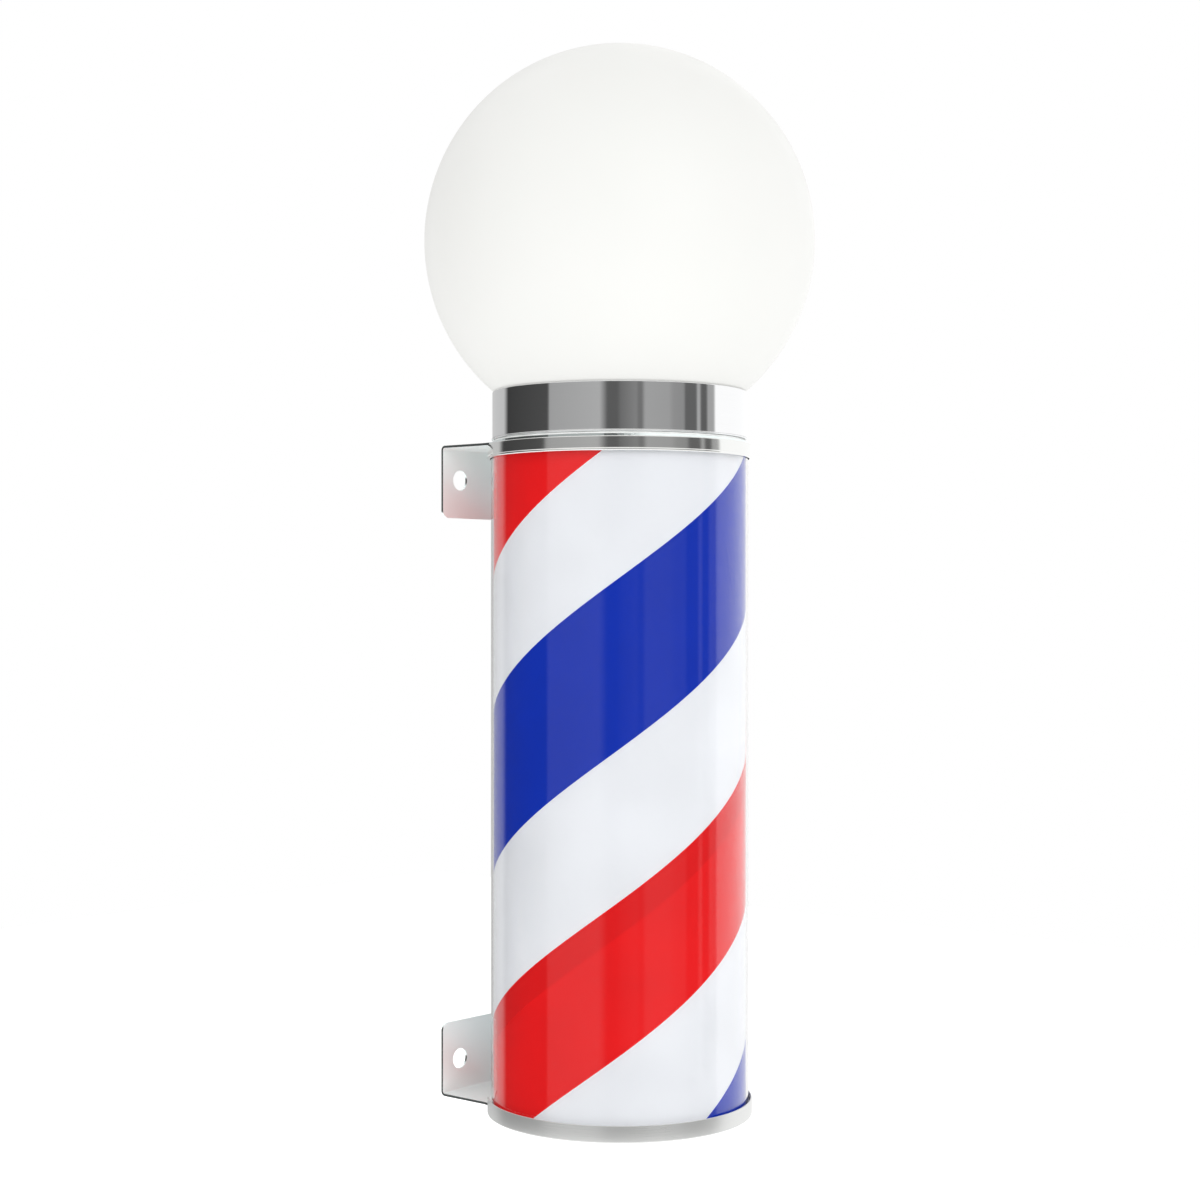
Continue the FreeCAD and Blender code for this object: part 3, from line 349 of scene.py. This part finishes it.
def spun_look(name, colour, low, high, depth, smudges=0.0, lines=9000.0, metallic=1.0):
    """Metal spun or brushed about the pole's axis: lines run round it."""
    look = Look(name, Metallic=metallic)
    radius, angle, height = look.about_pole()
    across = look.math("ADD", height, look.math("MULTIPLY", radius, 0.7))
    track = look.vector(look.math("MULTIPLY", angle, 1.6), 0.0, look.math("MULTIPLY", across, lines))
    grain = look.noise(track, 1.0, 3.0, 0.6)
    smear = look.noise(look.place, 16.0, 3.0)
    look.give("Base Color", look.mix(grain, tone(colour, 0.94), tone(colour, 1.04)))
    gloss = look.range(grain, 0.25, 0.75, low, high)
    look.give("Roughness", look.math("ADD", gloss, look.range(smear, 0.45, 0.75, 0.0, smudges)))
    look.bump(grain, 0.25, depth)
    return look.material


def opal_look():
    """Opal ball: white through and through, faintly clouded, with a soft gloss."""
    look = Look("opal", IOR=1.49)
    cloud = look.noise(look.place, 9.0, 3.0)
    look.give("Base Color", look.mix(cloud, (0.44, 0.445, 0.43, 1), (0.47, 0.47, 0.46, 1)))
    look.give("Roughness", look.range(look.noise(look.place, 30.0), 0.3, 0.7, 0.34, 0.46))
    look.give("Specular IOR Level", 0.25)
    look.give("Emission Color", (1.0, 0.995, 0.97, 1))
    look.give("Emission Strength", 0.26)
    look.bump(look.noise(look.place, 25.0), 0.05, 0.0003)
    return look.material


def clear_look():
    """Clear tube: hard gloss with a trace of drawing lines and dust."""
    look = Look("clear", IOR=1.46)
    angle, height = look.about_pole()[1:]
    drawn = look.noise(look.vector(look.math("MULTIPLY", angle, 30.0), 0.0,
                                   look.math("MULTIPLY", height, 1.5)), 1.0)
    look.give("Base Color", look.mix(look.noise(look.place, 6.0), (0.985, 0.99, 0.99, 1), (1, 1, 1, 1)))
    look.give("Roughness", look.range(look.noise(look.place, 25.0), 0.4, 0.8, 0.0, 0.03))
    look.give("Transmission Weight", 1.0)
    look.bump(drawn, 0.02, 0.0002)
    return look.material


# Helical bands of the drum: each band's upper edge at one bearing, in millimetres above the pan's edge,
# and its colour. The last edge is the first one a turn higher.
LEAD = 374.0 * MM
BAND_BEARING = math.radians(-140.0)
BAND_EDGES = [(52.2, "white"), (145.3, "red"), (237.4, "white"), (340.1, "blue"), (426.2, "white")]
BAND_COLOURS = {"white": (0.81, 0.825, 0.86, 1), "red": (0.80, 0.008, 0.010, 1),
                "blue": (0.002, 0.028, 0.41, 1)}
LAP_HEIGHT = 20.3 * MM
LAP_RISE = 0.22 * MM            # of the lap's face above the film's
LAP_THICKNESS = 0.3 * MM
LAP_SLIVER = 0.05 * MM          # the lap ends where less of its height than this is left
FILM_GLOW = 0.36                # light of the strips inside, through the sheet


def helix_height(edge, angle):
    """Height of a band's edge at an angle about the pole."""
    return PAN_LOW + edge * MM + LEAD * (angle - BAND_BEARING) / (2 * math.pi)


def print_sheet(look, print_colour, cloud):
    """What the sheet and its lap share: the print, lit from inside, and a soft gloss."""
    look.give("Base Color", print_colour)
    look.give("Emission Color", print_colour)
    look.give("Emission Strength", FILM_GLOW)
    look.give("Roughness", look.range(cloud, 0.3, 0.7, 0.5, 0.6))
    look.give("Specular IOR Level", 0.04)


def film_look():
    """Printed sheet: red, white and blue helical bands with a soft gloss."""
    look = Look("striped_film")
    angle, height = look.about_pole()[1:]
    first_edge = BAND_EDGES[0][0]
    climbed = look.math("MULTIPLY", look.math("SUBTRACT", angle, BAND_BEARING), LEAD / (2 * math.pi))
    level = look.math("SUBTRACT", look.math("SUBTRACT", height, PAN_LOW + first_edge * MM), climbed)
    share = look.math("FRACT", look.math("DIVIDE", level, LEAD))
    stops = []
    for (band_low, _), (_, colour) in zip(BAND_EDGES, BAND_EDGES[1:]):
        stops.append(((band_low - first_edge) * MM / LEAD, BAND_COLOURS[colour]))
    bands = look.ramp(share, stops, "CONSTANT")
    cloud = look.noise(look.place, 18.0, 3.0)
    shade = look.range(cloud, 0.3, 0.7, 0.95, 1.04)
    print_colour = look.put("VectorMath", {0: bands, 1: look.vector(shade, shade, shade)},
                            operation="MULTIPLY").outputs[0]
    print_sheet(look, print_colour, cloud)
    look.bump(look.noise(look.place, 600.0, 2.0), 0.1, 0.00003)
    return look.material


def lap_look():
    """The sheet's lapped strip: two layers of print, so a slightly deeper red."""
    look = Look("striped_film_lap")
    cloud = look.noise(look.place, 18.0, 3.0)
    red = BAND_COLOURS["red"]
    print_sheet(look, look.mix(cloud, tone(red, 0.86), tone(red, 0.93)), cloud)
    return look.material


def make_looks():
    """One material for each of the record's slots, and one each for the cap, the brackets, the pan and the
    film's lap, which don't look like the rest of their slot."""
    steel = (0.90, 0.905, 0.90)
    return {
        "opal": opal_look(),
        "clear": clear_look(),
        "striped_film": film_look(),
        "chrome": spun_look("chrome", (0.90, 0.905, 0.91), 0.015, 0.04, 0.000002, 0.05),
        "polished_steel": metal_look("polished_steel", steel, 0.26, 0.38, (1, 6, 30), 0.00001, 0.08),
        "cap_steel": spun_look("cap_steel", (0.88, 0.885, 0.87), 0.06, 0.14, 0.000004, 0.05),
        "bracket_steel": bracket_look(),
        "pan_steel": spun_look("pan_steel", (0.71, 0.715, 0.705), 0.24, 0.34, 0.000006, 0.06, metallic=0.75),
        "striped_film_lap": lap_look(),
        "satin_steel": spun_look("satin_steel", (0.83, 0.83, 0.81), 0.24, 0.36, 0.00001, 0.06),
        "plated_steel": metal_look("plated_steel", (0.72, 0.73, 0.74), 0.26, 0.4, (1, 8, 8), 0.00001),
        "spring_steel": metal_look("spring_steel", (0.55, 0.56, 0.57), 0.2, 0.35, (1, 8, 8), 0.00001),
        "screw_steel": metal_look("screw_steel", (0.70, 0.71, 0.72), 0.2, 0.34, (4, 4, 4), 0.00001),
        "aluminium": metal_look("aluminium", (0.82, 0.83, 0.84), 0.28, 0.42, (30, 30, 1), 0.00001),
        "brass": metal_look("brass", (0.80, 0.62, 0.30), 0.22, 0.36, (6, 6, 6), 0.00001),
        "black_rubber": rubber_look("black_rubber", (0.022, 0.022, 0.023)),
        "silicone": rubber_look("silicone", (0.80, 0.80, 0.78)),
        "black_plastic": plastic_look("black_plastic", (0.022, 0.022, 0.024), 0.42),
        "rocker_plastic": plastic_look("rocker_plastic", (0.026, 0.026, 0.028), 0.28),
        "white_plastic": plastic_look("white_plastic", (0.84, 0.84, 0.82), 0.45),
        "cream_plastic": plastic_look("cream_plastic", (0.82, 0.79, 0.70), 0.45),
        "wire": plastic_look("wire", (0.72, 0.72, 0.70), 0.4),
        "circuit": plastic_look("circuit", (0.86, 0.86, 0.84), 0.35),
        "led": plastic_look("led", (0.90, 0.80, 0.36), 0.3),
    }


# ---------------------------------------------------------------- shapes

def linked(name, mesh):
    """New object in the scene."""
    piece = bpy.data.objects.new(name, mesh)
    bpy.context.scene.collection.objects.link(piece)
    return piece


def built(name, build):
    """New object from a bmesh, which is used up."""
    mesh = bpy.data.meshes.new(name)
    build.to_mesh(mesh)
    build.free()
    return linked(name, mesh)


def arc(centre, radius, start, end, steps):
    """Points of an arc in the (radius, height) plane, angles in degrees."""
    points = []
    for index in range(steps + 1):
        angle = math.radians(start + (end - start) * index / steps)
        points.append((centre[0] + radius * math.cos(angle), centre[1] + radius * math.sin(angle)))
    return points


def spun(name, profile, segments=SEGMENTS):
    """Closed (radius, height) outline turned about the pole's axis. Points on the axis meet in one."""
    build = bmesh.new()
    columns = []
    for radius, height in profile:
        if radius < 1e-6:
            point = build.verts.new((AXIS.x, AXIS.y, height))
            columns.append([point] * segments)
            continue
        column = []
        for step in range(segments):
            angle = 2 * math.pi * step / segments
            column.append(build.verts.new((AXIS.x + radius * math.cos(angle),
                                           AXIS.y + radius * math.sin(angle), height)))
        columns.append(column)
    for index, low in enumerate(columns):
        high = columns[(index + 1) % len(columns)]
        if low[0] is low[1] and high[0] is high[1]:
            continue
        for step in range(segments):
            after = (step + 1) % segments
            corners = []
            for corner in (low[step], low[after], high[after], high[step]):
                if corner not in corners:
                    corners.append(corner)
            build.faces.new(corners)
    bmesh.ops.recalc_face_normals(build, faces=build.faces)
    return built(name, build)


def smooth(piece, degrees=SMOOTH_DEGREES):
    """Smooth shading, apart from edges that turn by more than degrees."""
    mesh = piece.data
    mesh.polygons.foreach_set("use_smooth", [True] * len(mesh.polygons))
    mesh.set_sharp_from_angle(angle=math.radians(degrees))
    mesh.update()


def finish(piece, node, look, degrees=SMOOTH_DEGREES):
    """Material, shading and body of the piece, and the CAD node that it stands for is hidden."""
    piece.data.materials.clear()
    piece.data.materials.append(look)
    smooth(piece, degrees)
    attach(piece, BODY_OF[node])
    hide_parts(node)
    return piece


def cut(piece, cutter, operation="DIFFERENCE"):
    """Takes the cutter's shape out of the piece, or with UNION adds it."""
    change = piece.modifiers.new("cut", "BOOLEAN")
    change.operation = operation
    change.solver = "EXACT"
    change.object = cutter
    bpy.context.view_layer.update()
    result = bpy.data.meshes.new_from_object(piece.evaluated_get(bpy.context.evaluated_depsgraph_get()))
    piece.modifiers.clear()
    piece.data = result
    bpy.data.objects.remove(cutter)


def upright_box(name, low, high):
    """Box between two opposite corners."""
    build = bmesh.new()
    bmesh.ops.create_cube(build, size=1.0)
    middle = (Vector(low) + Vector(high)) / 2
    span = Vector(high) - Vector(low)
    for vertex in build.verts:
        vertex.co = Vector((vertex.co.x * span.x, vertex.co.y * span.y, vertex.co.z * span.z)) + middle
    return built(name, build)


def cylinder(name, middle, radius, depth, segments, level=False):
    """Cylinder about its middle point. It stands along Z, or lies along Y if level."""
    build = bmesh.new()
    bmesh.ops.create_cone(build, cap_ends=True, segments=segments, radius1=radius, radius2=radius,
                          depth=depth)
    if level:
        bmesh.ops.rotate(build, verts=build.verts, matrix=Matrix.Rotation(math.pi / 2, 3, "X"))
    bmesh.ops.translate(build, verts=build.verts, vec=middle)
    return built(name, build)


# ---------------------------------------------------------------- pieces

def make_globe(looks):
    """Blown ball with a straight neck and a lip round its foot."""
    low, high = heights_of("globe")
    radius = radius_of("globe")
    wall, neck = 3.0 * MM, 76.0 * MM
    lip = neck + 2.5 * MM
    lip_top, taper_top, lip_edge = low + 2.3 * MM, low + 4 * MM, 0.6 * MM
    centre = (0, high - radius)
    outer_start = -math.degrees(math.acos(neck / radius))
    inner_start = -math.degrees(math.acos((neck - wall) / (radius - wall)))
    profile = [(neck - wall, low), (lip - lip_edge, low)]
    profile += arc((lip - lip_edge, low + lip_edge), lip_edge, -90, 0, 4)[1:]
    profile += [(lip, lip_top), (neck, taper_top)]
    profile += arc(centre, radius, outer_start, 90, 120)
    profile += arc(centre, radius - wall, 90, inner_start, 100)
    finish(spun("globe_ball", profile), "globe", looks["opal"])


def make_collar(looks):
    """Collar with a bead round its foot, a rounded top edge and a foot flange that points inwards."""
    low, high = heights_of("globe_collar")
    bead, fillet = 0.5 * MM, 0.25 * MM
    radius = radius_of("globe_collar") - bead
    wall, mouth, flange_top = 1.0 * MM, 70 * MM, low + 1.2 * MM
    profile = [(mouth, low), (radius - bead, low)]
    profile += arc((radius, low + bead), bead, -90, 90, 8)
    profile += arc((radius + fillet, low + 2 * bead + fillet), fillet, -90, -180, 4)
    profile += arc((radius - bead, high - bead), bead, 0, 180, 8)
    profile += [(radius - wall, flange_top), (mouth, flange_top)]
    finish(spun("globe_collar_spun", profile), "globe_collar", looks["chrome"])


def make_gasket(looks):
    """Ring with a round outer edge."""
    low, high = heights_of("globe_gasket")
    half, inside = (high - low) / 2, 69 * MM
    edge = arc((radius_of("globe_gasket") - half, low + half), half, -90, 90, 8)
    profile = [(inside, low)] + edge + [(inside, high)]
    finish(spun("globe_gasket_ring", profile), "globe_gasket", looks["silicone"])


def make_top_cap(looks):
    """Cap with a straight skirt and an outward roll along its lower edge."""
    low, high = heights_of("top_cap")
    bead_radius = radius_of("top_cap")
    skirt, inside, hole = bead_radius - 0.7 * MM, radius_of("upper_seal"), 9 * MM
    shoulder, roll, wall = 0.6 * MM, 0.95 * MM, 1.2 * MM
    roll_centre = (bead_radius - roll, low + roll)
    meeting = math.degrees(math.acos((skirt - roll_centre[0]) / roll))
    profile = [(hole, high)]
    profile += arc((skirt - shoulder, high - shoulder), shoulder, 90, 0, 12)
    profile += arc(roll_centre, roll, meeting, -90, 16)
    profile += [(inside, low), (inside, high - wall), (hole, high - wall)]
    finish(spun("top_cap_pressed", profile), "top_cap", looks["cap_steel"])


def make_pan(looks):
    """Pan with a rolled lower edge, a notch for the bracket's neck, and cut-outs for what clips into it."""
    low, high = heights_of("bottom_cap")
    radius = radius_of("bottom_cap")
    wall, hem, lip_edge, spare = 1.0 * MM, 1.0 * MM, 0.3 * MM, 1.0 * MM
    floor_top = heights_of("lower_bracket")[0]
    profile = [(0, floor_top), (radius - wall, floor_top)]
    profile += arc((radius - wall + lip_edge, high - lip_edge), lip_edge, 180, 90, 3)
    profile += arc((radius - lip_edge, high - lip_edge), lip_edge, 90, 0, 3)
    profile += arc((radius - hem, low + hem), hem, 0, -180, 14)
    profile += [(radius - 2 * hem, floor_top - wall), (0, floor_top - wall)]
    piece = spun("bottom_cap_pressed", profile)

    notch_half_width, notch_front, notch_back = 60 * MM, 40 * MM, 90 * MM
    cut(piece, upright_box("notch", (AXIS.x - notch_half_width, AXIS.y + notch_front, floor_top),
                           (AXIS.x + notch_half_width, AXIS.y + notch_back, high + spare)))
    bezel_lip = Vector((1.5 * MM, 1.5 * MM, 0))
    for node in ("light_switch_body", "motor_switch_body"):
        corner_low, corner_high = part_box(node)
        cut(piece, upright_box("switch_hole", corner_low + bezel_lip, corner_high - bezel_lip))
    grommet_low, grommet_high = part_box("cable_grommet")
    grommet_lip = 2.5 * MM
    middle = (grommet_low + grommet_high) / 2
    middle.z = (low - spare + high) / 2
    cut(piece, cylinder("grommet_hole", middle, (grommet_high.x - grommet_low.x) / 2 - grommet_lip,
                        high - low + spare, 64))
    finish(piece, "bottom_cap", looks["pan_steel"])


def make_brackets(looks):
    """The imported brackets, with smoothly round holes and far corners on their wall plates."""
    half_width, corner, sheet = 57 * MM, 5 * MM, 1.5 * MM
    inset = 0.01 * MM               # keeps an added corner's faces just inside the sheet
    hole_x, hole_inset = 41 * MM, 22 * MM
    hole_radius = 6.52 * MM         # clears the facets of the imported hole
    sharp_degrees, segments = 12.0, 96
    # The upper wall plate hangs down from its bend and the lower one stands up.
    for node, far, near, inward in (("upper_bracket", 0, 1, 1), ("lower_bracket", 1, 0, -1)):
        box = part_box(node)
        plate_y = box[1].y - sheet / 2
        piece = linked(node + "_rounded", frame["nodes"][node].data.copy())
        for side in (-1, 1):
            middle = (side * (half_width - corner), plate_y, box[far].z + inward * corner)
            cut(piece, cylinder("corner", middle, corner, sheet - 2 * inset, segments, level=True), "UNION")
            middle = (side * hole_x, plate_y, box[near].z - inward * hole_inset)
            cut(piece, cylinder("hole", middle, hole_radius, 3 * sheet, segments, level=True))
        finish(piece, node, looks["bracket_steel"], sharp_degrees)


def sleeve(name, node, wall):
    """Plain tube as tall and as wide as the node."""
    low, high = heights_of(node)
    radius = radius_of(node)
    profile = [(radius - wall, low), (radius, low), (radius, high), (radius - wall, high)]
    return spun(name, profile, TUBE_SEGMENTS)


def make_tube(looks):
    """Clear tube. It casts no shadow, so that the light reaches the film."""
    piece = finish(sleeve("outer_tube_clear", "outer_tube", 1.2 * MM), "outer_tube", looks["clear"])
    piece.visible_shadow = False


def make_film(looks):
    """Printed sheet, closed round the drum."""
    finish(sleeve("drum_film_sheet", "drum_film", 0.5 * MM), "drum_film", looks["striped_film"])


def make_lap(looks):
    """Lapped edge of the sheet: a thin strip that climbs round the drum inside the red band."""
    low, high = heights_of("drum_film")
    outside = radius_of("drum_film") + LAP_RISE
    inside = outside - LAP_THICKNESS
    red_edge = BAND_EDGES[1][0]
    first = BAND_BEARING + (low - PAN_LOW - red_edge * MM) / LEAD * 2 * math.pi
    turns = (high - low + LAP_HEIGHT) / LEAD
    steps = int(turns * SEGMENTS)
    build = bmesh.new()
    rows = []
    for step in range(steps + 1):
        angle = first + turns * 2 * math.pi * step / steps
        top = helix_height(red_edge, angle)
        edge_low = min(max(top - LAP_HEIGHT, low), high)
        edge_high = min(max(top, low), high)
        if edge_high - edge_low < LAP_SLIVER:
            continue
        row = []
        for radius, height in ((outside, edge_low), (outside, edge_high), (inside, edge_high),
                               (inside, edge_low)):
            row.append(build.verts.new((AXIS.x + radius * math.cos(angle),
                                        AXIS.y + radius * math.sin(angle), height)))
        rows.append(row)
    for before, after in zip(rows, rows[1:]):
        for side in range(4):
            other = (side + 1) % 4
            build.faces.new((before[side], before[other], after[other], after[side]))
    build.faces.new(rows[0])
    build.faces.new(rows[-1])
    bmesh.ops.recalc_face_normals(build, faces=build.faces)
    piece = built("drum_film_lap", build)
    piece.data.materials.append(looks["striped_film_lap"])
    smooth(piece)
    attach(piece, BODY_OF["drum_film"])


def repaint_cad(looks):
    """Every CAD node keeps its shape and takes its slot's material. Some are replaced afterwards."""
    for node, thing in frame["nodes"].items():
        for slot in thing.material_slots:
            slot.material = looks[SLOT_OF[node]]


add_camera()
add_world()
add_floor()
for light in LIGHTS:
    add_area_light(*light)
made_looks = make_looks()
repaint_cad(made_looks)
for make in (make_globe, make_collar, make_gasket, make_top_cap, make_pan, make_brackets, make_tube,
             make_film, make_lap):
    make(made_looks)

bpy.context.scene.view_settings.view_transform = "Standard"
bpy.context.scene.view_settings.look = "None"
